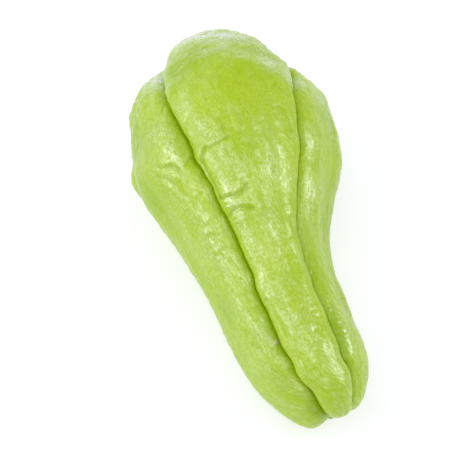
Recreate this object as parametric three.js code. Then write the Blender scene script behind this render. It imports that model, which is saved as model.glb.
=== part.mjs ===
// A chayote, the pear-shaped fruit, picked and lying on its side.
//
// The fruit grew as one piece, so it is one closed solid. A smooth pear sets its size, and the
// relief of the skin is raised from that pear along its normals: five lobes that run from end to
// end, the furrows between them, shallow flutes along the lobes, low swells and a few dents, the
// mouth at the blossom end and the dimple at the stem end. Where it lies, it is flattened.
//
// Millimetres, +Z up, +Y from the stem end to the blossom end. The origin is on the surface that
// the fruit lies on, under the middle of its box.

import * as THREE from 'three';

// ---- Driving dimensions --------------------------------------------------------------------

const LENGTH = 160; // stem pole to blossom pole of the smooth pear

// The smooth pear, at nine stations spread evenly from the stem end (first) to the blossom end.
const SWAY = [5.0, 1.3, -0.8, -2.2, -2.8, -1.4, -0.6, -0.8, -0.8]; // centre line, toward +X
const RISE = [16.1, 18.6, 21.1, 25.6, 31.1, 34.1, 35.1, 34.1, 32.6]; // centre line, above the surface
const HALF_WIDTH = [16.5, 19.8, 23.0, 25.3, 30.3, 37.3, 38.5, 36.0, 32.0];
const HALF_HEIGHT = [15.5, 19.5, 22.0, 24.5, 29.5, 34.0, 36.0, 34.5, 32.5];

// The length over which each end rounds off, and the power of its superellipse.
const STEM_CAP = { length: 24, power: 2.0 };
const BLOSSOM_CAP = { length: 42, power: 2.1 };

// The furrows, clockwise seen from the stem end. Angles are in degrees from straight up toward
// +X, depths are below the smooth pear, and both are given at the nine stations. All furrows
// are equally deep where they meet at a pole.
const FURROWS = [
  { // between the left lobe and the crown lobe
    angle: [-48, -30, -29, -27, -32, -35, -40, -44, -54],
    depth: [3, 8, 7.5, 7, 7, 7.5, 8, 8, 8],
  },
  { // between the crown lobe and the right lobe
    angle: [52, 30, 24, 24, 33, 35, 38, 43, 56],
    depth: [3, 7, 6.5, 6, 6, 6.5, 7.5, 8, 8],
  },
  { // between the right lobe and the right belly lobe
    angle: [112, 98, 94, 94, 98, 100, 102, 104, 108],
    depth: [3, 5, 5, 5, 6, 7, 8, 9, 8],
  },
  { // underneath, between the two belly lobes
    angle: [186, 183, 185, 184, 180, 178, 176, 178, 184],
    depth: [3, 6, 6, 6, 6, 7, 8, 9, 8],
  },
  { // between the left belly lobe and the left lobe
    angle: [232, 241, 246, 247, 251, 258, 263, 262, 252],
    depth: [3, 5, 5, 5, 6, 7, 8, 9, 8],
  },
];

// The lobes, each from the furrow of the same place in the list above to the next one. The crest
// is the height of the lobe's middle above the smooth pear at the stations. A wall falls to the
// furrow over its reach, and the greater its steepness the sharper its upper edge. Flutes are
// shallow grooves along the lobe: where across it they run (0 to 1), and how deep.
const LOBES = [
  { // the crown lobe, which lies over both of its neighbours
    crest: [8, 3, 2.5, 2, 1.5, 1.5, 2, 2.5, 4],
    walls: [{ reach: 6, steep: 2.8 }, { reach: 6, steep: 2.8 }],
    flutes: [
      { across: [0.30, 0.30, 0.32, 0.34, 0.36, 0.38, 0.40, 0.42, 0.45],
        depth: [0, 0.5, 0.9, 0.8, 0.5, 0.2, 0, 0, 0], halfWidth: 3.0 },
      { across: [0.62, 0.60, 0.60, 0.62, 0.64, 0.66, 0.66, 0.66, 0.66],
        depth: [0, 0.4, 0.8, 0.9, 0.9, 0.6, 0.3, 0, 0], halfWidth: 3.0 },
    ],
  },
  { // the right lobe
    crest: [1, 1.4, -0.6, -2.2, 0.6, 0.6, -1, -6.5, -6],
    walls: [{ reach: 7, steep: 2.6 }, { reach: 8, steep: 2.2 }],
    flutes: [
      { across: [0.50, 0.50, 0.52, 0.52, 0.50, 0.50, 0.50, 0.50, 0.50],
        depth: [0, 0.3, 0.6, 0.6, 0.5, 0.4, 0.2, 0, 0], halfWidth: 3.0 },
    ],
  },
  { // the right belly lobe
    crest: [-3, 0, 0, 0, 0.2, 1.4, 2.3, 2.2, 4],
    walls: [{ reach: 8, steep: 2.2 }, { reach: 8, steep: 2.2 }],
    flutes: [
      { across: [0.45, 0.45, 0.50, 0.50, 0.50, 0.45, 0.40, 0.40, 0.40],
        depth: [0, 0.4, 0.7, 0.8, 0.7, 0.4, 0, 0, 0], halfWidth: 3.5 },
    ],
  },
  { // the left belly lobe
    crest: [-3, 1.1, 0.8, 0.2, -0.2, 0.9, 0.4, 1.8, 4],
    walls: [{ reach: 8, steep: 2.2 }, { reach: 8, steep: 2.2 }],
    flutes: [
      { across: [0.55, 0.55, 0.50, 0.50, 0.55, 0.60, 0.60, 0.60, 0.60],
        depth: [0, 0.4, 0.7, 0.8, 0.7, 0.4, 0, 0, 0], halfWidth: 3.5 },
    ],
  },
  { // the left lobe
    crest: [4, 0.6, 0.6, 0.5, 1, 3.5, 1.0, 2, -3],
    walls: [{ reach: 8, steep: 2.2 }, { reach: 7, steep: 2.6 }],
    flutes: [
      { across: [0.50, 0.48, 0.46, 0.44, 0.42, 0.42, 0.42, 0.42, 0.42],
        depth: [0, 0.5, 0.9, 0.9, 0.8, 0.4, 0, 0, 0], halfWidth: 3.5 },
    ],
  },
];

const CREST_ROUNDNESS = 2.4; // 2 is a parabola across the lobe, more is flatter on top
const WALL_CURVE = 2.2; // how quickly a wall leaves the furrow's floor
const FULL_LOBE = 12; // a lobe narrower than this, near a pole, is lower in proportion

// Where the lobes meet at the ends: a wide, shallow-sided mouth and a small dimple.
const MOUTH = { depth: 9, halfWidth: 15, halfHeight: 6.5 };
const DIMPLE = { depth: 4, halfWidth: 6, halfHeight: 5 };

// Round swellings (height above 0) and dents (below 0): distance from the stem pole, angle, half
// length, half width and height.
const SPOTS = [
  { y: 150, angle: -27, halfLength: 7.0, halfWidth: 8.0, height: 1.0 },
  { y: 150, angle: 8, halfLength: 5.0, halfWidth: 8.0, height: 2.0 },
  { y: 92, angle: 76, halfLength: 7.0, halfWidth: 7.0, height: 1.4 },
  { y: 133, angle: 276, halfLength: 4.0, halfWidth: 6.0, height: 0.8 },
  { y: 117, angle: 66, halfLength: 5.0, halfWidth: 6.0, height: 1.2 },
  { y: 116, angle: 254, halfLength: 9.0, halfWidth: 8.0, height: 4.5 },
  { y: 70, angle: 74, halfLength: 8.0, halfWidth: 7.0, height: -0.9 },
  { y: 134, angle: -30, halfLength: 5.5, halfWidth: 4.5, height: -1.1 },
  { y: 138, angle: 12, halfLength: 4.0, halfWidth: 5.0, height: -1.0 },
  { y: 129, angle: 27, halfLength: 5.0, halfWidth: 4.0, height: -0.9 },
  { y: 126, angle: 150, halfLength: 7.0, halfWidth: 6.0, height: -1.0 },
  { y: 108, angle: 226, halfLength: 6.0, halfWidth: 6.0, height: -0.8 },
  { y: 134, angle: 290, halfLength: 6.0, halfWidth: 5.0, height: -1.0 },
];

// Swells of the whole skin. Each is a product of plane waves, given by their wave vectors in
// radians per millimetre, and stands higher at the blossom end by the rim height.
const SWELLS = [
  { height: 0.55, rimHeight: 0,
    waves: [
      { vector: [0.120, 0, 0], phase: 1.1 },
      { vector: [0, 0.079, 0], phase: 0.6 },
      { vector: [0, 0, 0.110], phase: 2.0 },
    ] },
  { height: 0.22, rimHeight: 0.75,
    waves: [
      { vector: [0.244, 0.111, 0], phase: 0.4 },
      { vector: [0, 0.189, -0.164], phase: 1.7 },
    ] },
];
const RIM_START = 112; // where the blossom end's swells begin to grow
const RIM_FULL = 142; // where they are full

// How finely the solid is divided.
const STEPS_ALONG = 54;
const STEPS_ACROSS_LOBE = 16;
const EVEN_SHARE = 0.4; // the rest of the steps crowd toward the furrows

const SKIN = new THREE.MeshStandardMaterial({ color: 0xb3cf5e, roughness: 0.38, metalness: 0 });

// ---- Helpers -------------------------------------------------------------------------------

/** The value at a distance y from the stem pole, on a Catmull-Rom curve through the stations. */
function at(stations, y) {
  const last = stations.length - 1;
  const place = THREE.MathUtils.clamp(y / LENGTH, 0, 1) * last;
  const i = Math.min(Math.floor(place), last - 1);
  const u = place - i;
  const before = stations[Math.max(i - 1, 0)];
  const from = stations[i];
  const to = stations[i + 1];
  const after = stations[Math.min(i + 2, last)];
  const slope = (to - before) / 2;
  const bend = (2 * before - 5 * from + 4 * to - after) / 2;
  const twist = (3 * from - before - 3 * to + after) / 2;
  return from + u * (slope + u * (bend + u * twist));
}

/** How far a cap has rounded off at a distance from its pole: 0 at the pole, 1 past the cap. */
function roundOff(distance, cap) {
  const s = THREE.MathUtils.clamp(1 - distance / cap.length, 0, 1);
  return (1 - s ** cap.power) ** (1 / cap.power);
}

/** The distance from the stem pole for t from 0 to 1, crowded toward both poles. */
function yAt(t) {
  return LENGTH * (1 - Math.cos(Math.PI * t)) / 2;
}

/** Half width and half height of the smooth pear's section at y. */
function section(y) {
  const round = roundOff(y, STEM_CAP) * roundOff(LENGTH - y, BLOSSOM_CAP);
  return [at(HALF_WIDTH, y) * round, at(HALF_HEIGHT, y) * round];
}

/** The point of the smooth pear at t along it and an angle round it, in radians. */
function pearPoint(t, angle) {
  const y = yAt(t);
  const [halfWidth, halfHeight] = section(y);
  return new THREE.Vector3(
    at(SWAY, y) + halfWidth * Math.sin(angle),
    y,
    at(RISE, y) + halfHeight * Math.cos(angle),
  );
}

/** The outward normal of the smooth pear at t and angle. */
function pearNormal(t, angle) {
  const step = 1e-3;
  const middle = THREE.MathUtils.clamp(t, step, 1 - step);
  const [halfWidth, halfHeight] = section(yAt(middle));
  const alongPear = pearPoint(middle + 0.99 * step, angle)
    .sub(pearPoint(middle - 0.99 * step, angle));
  const roundPear = new THREE.Vector3(
    halfWidth * Math.cos(angle), 0, -halfHeight * Math.sin(angle));
  return roundPear.cross(alongPear).normalize();
}

/** How far a wall has risen at a distance from its furrow: 0 on the floor, 1 past its reach. */
function wallRise(distance, wall) {
  const u = THREE.MathUtils.clamp(distance / wall.reach, 0, 1);
  return (1 - (1 - u) ** WALL_CURVE) ** (1 / wall.steep);
}

/** The depth of a hollow round a pole at a point of the smooth pear. */
function hollow(point, sway, rise, shape) {
  const across = (point.x - sway) / shape.halfWidth;
  const up = (point.z - rise) / shape.halfHeight;
  return shape.depth * Math.exp(-(across ** 2) - up ** 2);
}

/** The height of the swells at a point of the smooth pear. */
function swellHeight(point) {
  const rim = THREE.MathUtils.clamp((point.y - RIM_START) / (RIM_FULL - RIM_START), 0, 1);
  let height = 0;
  for (const swell of SWELLS) {
    let product = 1;
    for (const { vector, phase } of swell.waves) {
      product *= Math.sin(point.x * vector[0] + point.y * vector[1] + point.z * vector[2] + phase);
    }
    height += (swell.height + swell.rimHeight * rim) * product;
  }
  return height;
}

/** The height of the spots at y and an angle in degrees, on a section of the given radius. */
function spotHeight(y, degrees, radius) {
  let height = 0;
  for (const spot of SPOTS) {
    const turn = ((degrees - spot.angle + 540) % 360) - 180;
    const across = radius * THREE.MathUtils.degToRad(turn) / spot.halfWidth;
    const along = (y - spot.y) / spot.halfLength;
    height += spot.height * Math.exp(-(across ** 2) - along ** 2);
  }
  return height;
}

/** A point of the skin: t along the fruit, and share (0 to 1) across the lobe of that number. */
function skinPoint(t, lobeNumber, share) {
  const lobe = LOBES[lobeNumber];
  const first = FURROWS[lobeNumber];
  const next = FURROWS[(lobeNumber + 1) % FURROWS.length];
  const turn = lobeNumber + 1 < FURROWS.length ? 0 : 360;

  const y = yAt(t);
  const from = at(first.angle, y);
  const span = at(next.angle, y) + turn - from;
  const degrees = from + span * share;
  const angle = THREE.MathUtils.degToRad(degrees);
  const point = pearPoint(t, angle);

  const [halfWidth, halfHeight] = section(y);
  const radius = Math.hypot(halfWidth * Math.sin(angle), halfHeight * Math.cos(angle));
  const width = radius * THREE.MathUtils.degToRad(span);
  const full = Math.min(width / FULL_LOBE, 1);

  const crest = at(lobe.crest, y) * (1 - Math.abs(2 * share - 1) ** CREST_ROUNDNESS) * full;
  const risen = wallRise(share * width, lobe.walls[0]) * wallRise((1 - share) * width, lobe.walls[1]);
  const floor = at(first.depth, y) * (1 - share) + at(next.depth, y) * share;

  let height = crest - (1 - risen) * floor;
  for (const flute of lobe.flutes) {
    const offset = (share - at(flute.across, y)) * width / flute.halfWidth;
    height -= at(flute.depth, y) * Math.exp(-(offset ** 2));
  }
  height += (swellHeight(point) + spotHeight(y, degrees, radius)) * full;

  const towardBlossom = 2 * y / LENGTH - 1;
  if (towardBlossom > 0) {
    height -= towardBlossom ** 2 * hollow(point, SWAY.at(-1), RISE.at(-1), MOUTH);
  } else {
    height -= towardBlossom ** 2 * hollow(point, SWAY[0], RISE[0], DIMPLE);
  }
  return point.addScaledVector(pearNormal(t, angle), height);
}

/** The shares across a lobe at which it is divided, crowded toward its two furrows. */
function lobeShares() {
  const shares = [];
  for (let k = 0; k < STEPS_ACROSS_LOBE; k += 1) {
    const even = k / STEPS_ACROSS_LOBE;
    const crowded = (1 - Math.cos(Math.PI * even)) / 2;
    shares.push(crowded * (1 - EVEN_SHARE) + even * EVEN_SHARE);
  }
  return shares;
}

/** The whole skin as one closed body: a pole, rings of points, and the other pole. */
function fruitGeometry() {
  const points = [skinPoint(0, 0, 0)];
  for (let row = 1; row < STEPS_ALONG; row += 1) {
    for (let lobe = 0; lobe < LOBES.length; lobe += 1) {
      for (const share of lobeShares()) {
        points.push(skinPoint(row / STEPS_ALONG, lobe, share));
      }
    }
  }
  points.push(skinPoint(1, 0, 0));

  const around = LOBES.length * STEPS_ACROSS_LOBE;
  const lastPole = points.length - 1;
  const vertex = (row, column) => 1 + (row - 1) * around + (column % around);
  const faces = [];
  for (let column = 0; column < around; column += 1) {
    faces.push(0, vertex(1, column + 1), vertex(1, column));
    for (let row = 1; row < STEPS_ALONG - 1; row += 1) {
      const a = vertex(row, column);
      const b = vertex(row, column + 1);
      const c = vertex(row + 1, column + 1);
      const d = vertex(row + 1, column);
      faces.push(a, b, c, a, c, d);
    }
    faces.push(lastPole, vertex(STEPS_ALONG - 1, column), vertex(STEPS_ALONG - 1, column + 1));
  }

  const geometry = new THREE.BufferGeometry();
  const coordinates = points.flatMap((p) => [p.x, p.y, Math.max(p.z, 0)]);
  geometry.setAttribute('position', new THREE.Float32BufferAttribute(coordinates, 3));
  geometry.setIndex(faces);
  geometry.computeVertexNormals();
  return geometry;
}

// ---- The fruit -----------------------------------------------------------------------------

const geometry = fruitGeometry();
geometry.computeBoundingBox();
const centre = geometry.boundingBox.getCenter(new THREE.Vector3());
geometry.translate(-centre.x, -centre.y, 0);

const chayote = new THREE.Mesh(geometry, SKIN);
chayote.name = 'chayote';

const group = new THREE.Group();
group.add(chayote);

export default group;
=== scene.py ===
"""A whole chayote lying on a pale floor: the fine skin and its finish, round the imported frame.

Lengths of the fruit are in millimetres, along a pear that is 160 mm long, and become metres where
a mesh is made. +Y runs from the stem end to the blossom end, +Z is up.
"""

import logging
import math
from dataclasses import dataclass, fields
from enum import Enum
from itertools import product
from typing import Any, Callable, Iterable, Mapping, Sequence, Union

import bpy
import numpy as np
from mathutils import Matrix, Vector


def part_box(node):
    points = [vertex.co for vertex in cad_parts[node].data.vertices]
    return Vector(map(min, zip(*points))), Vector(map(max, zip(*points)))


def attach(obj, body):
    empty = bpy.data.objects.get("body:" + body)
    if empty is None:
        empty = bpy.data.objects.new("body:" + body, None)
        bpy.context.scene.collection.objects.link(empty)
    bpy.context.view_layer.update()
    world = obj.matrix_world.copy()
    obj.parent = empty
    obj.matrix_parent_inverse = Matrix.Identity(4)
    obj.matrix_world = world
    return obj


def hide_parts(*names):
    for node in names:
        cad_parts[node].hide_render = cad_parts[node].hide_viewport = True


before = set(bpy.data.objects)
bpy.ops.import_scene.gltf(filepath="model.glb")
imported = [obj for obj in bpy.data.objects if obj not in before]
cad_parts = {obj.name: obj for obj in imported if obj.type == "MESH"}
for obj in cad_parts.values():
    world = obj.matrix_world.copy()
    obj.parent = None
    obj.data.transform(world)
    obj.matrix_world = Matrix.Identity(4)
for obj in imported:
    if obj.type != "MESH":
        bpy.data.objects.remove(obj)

LOG = logging.getLogger("chayote")
NODE = "chayote"
BODY = "root"
MM = 0.001

# Distances from the stem pole in millimetres: where the neck's wrinkles begin to fade and are gone,
# and where the relief of the belly, the rim and the mouth begins and is full.
NECK_END = (70.0, 125.0)
BELLY = (85.0, 120.0)
RIM = (112.0, 142.0)
MOUTH = (143.0, 155.0)

Array = np.ndarray
Stations = tuple[float, ...]
Colour = tuple[float, float, float]

WHITE = (1.0, 1.0, 1.0, 1.0)


# ---- Small tools -------------------------------------------------------------------------------


def bump(distance: Array, half_width: Union[float, Array]) -> Array:
    """A smooth hill: 1 where distance is 0, 0.37 at half_width."""
    return np.exp(-((distance / half_width) ** 2))


def ramp(value: Array, start: float, end: float) -> Array:
    """0 before start, 1 after end, and smooth between them."""
    u = np.clip((value - start) / (end - start), 0.0, 1.0)
    return u * u * (3.0 - 2.0 * u)


class GradientNoise:
    """Smooth noise in three dimensions, the same in every run.

    LIFT brings its peaks to about 1, and OCTAVE_SHIFT moves each octave off the one before it.
    """

    SIZE = 256
    CORNERS = tuple(product((0, 1), repeat=3))
    LIFT = 1.6
    OCTAVE_SHIFT = 17.3

    def __init__(self, seed: int) -> None:
        """Draws the lattice's gradients.

        Args:
            seed: number that picks this noise.
        """
        draw = np.random.default_rng(seed)
        self.order = draw.permutation(self.SIZE)
        slopes = draw.normal(size=(self.SIZE, 3))
        self.slopes = slopes / np.linalg.norm(slopes, axis=1, keepdims=True)

    def number_at(self, cell: Array) -> Array:
        """A number from 0 to SIZE - 1 for each cell.

        Args:
            cell: array whose last axis is a cell's three whole numbers.

        Returns:
            The number of each cell.
        """
        mixed = self.order[cell[..., 0] % self.SIZE]
        mixed = self.order[(mixed + cell[..., 1]) % self.SIZE]
        return self.order[(mixed + cell[..., 2]) % self.SIZE]

    def at(self, points: Array) -> Array:
        """The noise at points.

        Args:
            points: array whose last axis is x, y, z, in units of the noise's grain.

        Returns:
            Values from about -1 to 1.
        """
        cell = np.floor(points).astype(int)
        inside = points - cell
        fade = inside ** 3 * (inside * (inside * 6.0 - 15.0) + 10.0)
        total = np.zeros(points.shape[:-1])
        for corner in self.CORNERS:
            slope = self.slopes[self.number_at(cell + corner)]
            rise = ((inside - corner) * slope).sum(-1)
            share = np.where(corner, fade, 1.0 - fade).prod(-1)
            total += rise * share
        return total * self.LIFT

    def octaves(self, points: Array, count: int, gain: float = 0.5) -> Array:
        """A sum of finer and finer noise.

        Args:
            points: array whose last axis is x, y, z.
            count: how many octaves.
            gain: height of each octave against the one before it.

        Returns:
            Values from about -1 to 1.
        """
        total = np.zeros(points.shape[:-1])
        height = 1.0
        whole = 0.0
        for octave in range(count):
            total += height * self.at(points * 2.0 ** octave + self.OCTAVE_SHIFT * octave)
            whole += height
            height *= gain
        return total / whole


class CellNoise:
    """Cells of a net, given by how far a point is from their borders.

    FAR is more than the distance of any point from the centres around it.
    """

    AROUND = tuple(product((-1, 0, 1), repeat=3))
    FAR = 9.0

    def __init__(self, seed: int) -> None:
        """Draws where the cells' centres lie.

        Args:
            seed: number that picks this net.
        """
        self.places = np.random.default_rng(seed).random((GradientNoise.SIZE, 3))
        self.lattice = GradientNoise(seed)

    def border(self, points: Array) -> Array:
        """Distance from the nearest border of the net.

        Args:
            points: array whose last axis is x, y, z, in units of a cell.

        Returns:
            0 on a border, growing toward each cell's middle.
        """
        cell = np.floor(points).astype(int)
        nearest = np.full(points.shape[:-1], self.FAR)
        second = nearest.copy()
        for step in self.AROUND:
            there = cell + step
            centre = there + self.places[self.lattice.number_at(there)]
            distance = np.linalg.norm(points - centre, axis=-1)
            second = np.minimum(second, np.maximum(nearest, distance))
            nearest = np.minimum(nearest, distance)
        return second - nearest


# ---- The smooth pear ---------------------------------------------------------------------------


@dataclass(frozen=True)
class Cap:
    """How an end of the pear rounds off."""

    length: float
    power: float

    def round_off(self, distance: Array) -> Array:
        """0 at the pole, 1 past the cap."""
        s = np.clip(1.0 - distance / self.length, 0.0, 1.0)
        return (1.0 - s ** self.power) ** (1.0 / self.power)


@dataclass(frozen=True)
class Pear:
    """The smooth pear that the skin's relief is raised from, at nine even stations.

    Its pole_gap is how near the poles, in t, a direction is still taken.
    """

    length: float = 160.0
    sway: Stations = (5.0, 1.3, -0.8, -2.2, -2.8, -1.4, -0.6, -0.8, -0.8)
    rise: Stations = (16.1, 18.6, 21.1, 25.6, 31.1, 34.1, 35.1, 34.1, 32.6)
    half_width: Stations = (16.5, 19.8, 23.0, 25.3, 30.3, 37.3, 38.5, 36.0, 32.0)
    half_height: Stations = (15.5, 19.5, 22.0, 24.5, 29.5, 34.0, 36.0, 34.5, 32.5)
    stem_cap: Cap = Cap(24.0, 2.0)
    blossom_cap: Cap = Cap(42.0, 2.1)
    pole_gap: float = 1e-3

    def along(self, stations: Stations, y: Array) -> Array:
        """Values on a Catmull-Rom curve through the stations.

        Args:
            stations: the values at the stations, from the stem pole to the blossom pole.
            y: distances from the stem pole.

        Returns:
            The value at each distance.
        """
        values = np.asarray(stations, float)
        last = len(values) - 1
        place = np.clip(y / self.length, 0.0, 1.0) * last
        i = np.minimum(place.astype(int), last - 1)
        u = place - i
        before = values[np.maximum(i - 1, 0)]
        start = values[i]
        end = values[i + 1]
        after = values[np.minimum(i + 2, last)]
        slope = (end - before) / 2
        bend = (2 * before - 5 * start + 4 * end - after) / 2
        twist = (3 * start - before - 3 * end + after) / 2
        return start + u * (slope + u * (bend + u * twist))

    def distance(self, t: Array) -> Array:
        """The distance from the stem pole at t, which runs from 0 to 1 and crowds at the poles."""
        return self.length * (1.0 - np.cos(math.pi * t)) / 2.0

    def section(self, y: Array) -> tuple[Array, Array]:
        """Half width and half height of the pear at y."""
        round_off = self.stem_cap.round_off(y) * self.blossom_cap.round_off(self.length - y)
        return self.along(self.half_width, y) * round_off, self.along(self.half_height, y) * round_off

    def off_poles(self, t: Array) -> Array:
        """t, kept just off the poles, where no direction leads round the pear."""
        return np.clip(t, self.pole_gap, 1.0 - self.pole_gap)

    def point(self, t: Array, angle: Array) -> Array:
        """The pear's point at t and an angle.

        Args:
            t: how far along the fruit, 0 to 1.
            angle: from straight up toward +X, in radians.

        Returns:
            Points, with x, y and z as the last axis.
        """
        y = self.distance(t)
        half_width, half_height = self.section(y)
        x = self.along(self.sway, y) + half_width * np.sin(angle)
        z = self.along(self.rise, y) + half_height * np.cos(angle)
        return np.stack([x, y + 0.0 * angle, z], -1)

    def round_direction(self, t: Array, angle: Array) -> Array:
        """The direction round the pear.

        Args:
            t: how far along the fruit, 0 to 1.
            angle: from straight up toward +X, in radians.

        Returns:
            Vectors of length 1.
        """
        half_width, half_height = self.section(self.distance(t))
        way = np.stack([half_width * np.cos(angle), 0.0 * angle, -half_height * np.sin(angle)], -1)
        return way / np.linalg.norm(way, axis=-1, keepdims=True)

    def normal(self, t: Array, angle: Array) -> Array:
        """The pear's outward normal.

        Args:
            t: how far along the fruit, 0 to 1.
            angle: from straight up toward +X, in radians.

        Returns:
            Vectors of length 1.
        """
        middle = self.off_poles(t)
        step = 0.99 * self.pole_gap
        ahead = self.point(middle + step, angle) - self.point(middle - step, angle)
        outward = np.cross(self.round_direction(middle, angle), ahead)
        return outward / np.linalg.norm(outward, axis=-1, keepdims=True)


# ---- The large relief: furrows, lobes and the hollows at the ends ------------------------------


@dataclass(frozen=True)
class Kink:
    """A place where a furrow strays from its even line, and by how many degrees."""

    y: float
    degrees: float
    half_length: float


@dataclass(frozen=True)
class Furrow:
    """A furrow from pole to pole: its angle in degrees and its depth at the stations."""

    angle: Stations
    depth: Stations
    kinks: tuple[Kink, ...]

    def stray(self, y: Array) -> Array:
        """How far the furrow is from its even line at y, in degrees."""
        return sum(kink.degrees * bump(y - kink.y, kink.half_length) for kink in self.kinks)


@dataclass(frozen=True)
class Wall:
    """A lobe's side, down to a furrow: how its lip leans out, and how much painted shade darkens its
    foot.

    CURVE shapes its slope, LIP is where it leans most, and FOOT is how wide its painted shade is.
    """

    reach: float
    steep: float
    lean: float = 0.0
    shade: float = 0.0

    CURVE = 2.2
    LIP = 2.2
    FOOT = 2.6

    def risen(self, distance: Array) -> Array:
        """How far the wall has risen: 0 on the furrow's floor, 1 past its reach."""
        u = np.clip(distance / self.reach, 0.0, 1.0)
        return (1.0 - (1.0 - u) ** self.CURVE) ** (1.0 / self.steep)

    def leaning(self, distance: Array) -> Array:
        """How far the skin is moved out over the furrow at a distance from it."""
        u = distance / self.LIP
        return self.lean * u * np.exp(1.0 - u)

    def shaded(self, distance: Array) -> Array:
        """How much painted shade deepens the skin's green at a distance from the furrow."""
        return self.shade * bump(distance, self.FOOT)


@dataclass(frozen=True)
class Flute:
    """A shallow groove along a lobe: where across it (0 to 1), how deep, and how wide."""

    across: Stations
    depth: Stations
    half_width: float


@dataclass(frozen=True)
class Lobe:
    """A lobe between two furrows, with the height of its crest at the stations."""

    name: str
    crest: Stations
    walls: tuple[Wall, Wall]
    flutes: tuple[Flute, ...]


@dataclass(frozen=True)
class Hollow:
    """A hollow round a pole."""

    depth: float
    half_width: float
    half_height: float

    def sink(self, point: Array, sway: float, rise: float) -> Array:
        """The hollow's depth.

        Args:
            point: points of the pear.
            sway: the pole's x.
            rise: the pole's z.

        Returns:
            The depth at each point.
        """
        across = (point[..., 0] - sway) / self.half_width
        up = (point[..., 2] - rise) / self.half_height
        return self.depth * np.exp(-(across ** 2) - up ** 2)


@dataclass(frozen=True)
class Wave:
    """A plane wave: its wave vector in radians per millimetre, and its phase."""

    vector: tuple[float, float, float]
    phase: float


@dataclass(frozen=True)
class Swell:
    """A product of waves over the whole skin, higher at the blossom end by rim_height."""

    height: float
    rim_height: float
    waves: tuple[Wave, ...]


@dataclass(frozen=True)
class Spot:
    """A round place on the skin: its distance along the pear and its angle in degrees.

    Its half sizes are in millimetres, and its amount is what it adds at its middle.
    """

    y: float
    angle: float
    half_length: float
    half_width: float
    amount: float


@dataclass(frozen=True)
class Place:
    """Where points of the skin lie, as arrays of one shape.

    Its y and degrees are along and round the pear, share is how far across its lobe a point is, 0
    to 1, and width is the lobe's width there. The radius is of the pear's section, and point is
    the pear's own point.
    """

    y: Array
    degrees: Array
    share: Array
    width: Array
    radius: Array
    point: Array

    def turned_from(self, angle: float) -> Array:
        """Millimetres round the section from an angle in degrees."""
        turn = (self.degrees - angle + 540.0) % 360.0 - 180.0
        return self.radius * np.radians(turn)

    def spot(self, spot: Spot) -> Array:
        """A spot's amount at each point.

        Args:
            spot: the spot.

        Returns:
            Its amount at its middle, and less around it.
        """
        across = self.turned_from(spot.angle) / spot.half_width
        along = (self.y - spot.y) / spot.half_length
        return spot.amount * np.exp(-(across ** 2) - along ** 2)

    def strongest(self, spots: Iterable[Spot]) -> Array:
        """The strongest of some spots at each point.

        Args:
            spots: the spots.

        Returns:
            That spot's amount, and 0 far from them all.
        """
        strongest = np.zeros(self.y.shape)
        for spot in spots:
            strongest = np.maximum(strongest, self.spot(spot))
        return strongest

    @staticmethod
    def joined(places: Sequence["Place"]) -> "Place":
        """The places of several lobes as one, side by side."""
        names = [field.name for field in fields(Place)]
        return Place(*(np.concatenate([getattr(place, name) for place in places], 1) for name in names))


FURROWS = (
    Furrow(
        angle=(-48, -30, -29, -27, -32, -35, -40, -44, -54),
        depth=(1.5, 6.5, 7.5, 7, 7, 7.5, 8, 8, 8),
        kinks=(
            Kink(114, -1.1, 12.0), Kink(93, -1.6, 3.0), Kink(82, 1.6, 3.0), Kink(60, -0.5, 3.5),
            Kink(50, 1.9, 3.0), Kink(36, 2.0, 6.0), Kink(24, -0.8, 2.5), Kink(17, 2.8, 4.0),
            Kink(8, 3.5, 3.0), Kink(5, 14.5, 7.5),
        ),
    ),
    Furrow(
        angle=(52, 30, 24, 24, 33, 35, 38, 43, 56),
        depth=(3, 7, 6.5, 6, 6, 6.5, 7.5, 8, 8),
        kinks=(
            Kink(110, -2.0, 5.0), Kink(100, -1.6, 5.0), Kink(88, 0.8, 4.0), Kink(60, -0.8, 2.0),
            Kink(56, 0.8, 4.0), Kink(40, -0.8, 3.0), Kink(31, 1.8, 5.0), Kink(18, -1.1, 3.5),
            Kink(15, -5.5, 3.0), Kink(7, -9.0, 4.0), Kink(4, -5.5, 2.2),
        ),
    ),
    Furrow(
        angle=(112, 98, 94, 94, 98, 100, 102, 104, 108),
        depth=(3, 5, 5, 5, 6, 7, 8, 9, 8),
        kinks=(Kink(118, 2.5, 5.0), Kink(96, -2.5, 5.0), Kink(64, 2.0, 4.0), Kink(40, -2.5, 5.0)),
    ),
    Furrow(
        angle=(186, 183, 185, 184, 180, 178, 176, 178, 184),
        depth=(3, 6, 6, 6, 6, 7, 8, 9, 8),
        kinks=(Kink(124, -2.5, 5.0), Kink(102, 2.5, 4.0), Kink(76, -2.0, 5.0), Kink(48, 2.5, 5.0)),
    ),
    Furrow(
        angle=(232, 241, 246, 247, 251, 258, 263, 262, 252),
        depth=(3, 5, 5, 5, 6, 7, 8, 9, 8),
        kinks=(Kink(128, -2.0, 5.0), Kink(92, 2.5, 5.0), Kink(66, -2.0, 4.0), Kink(36, 2.0, 5.0)),
    ),
)

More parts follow.
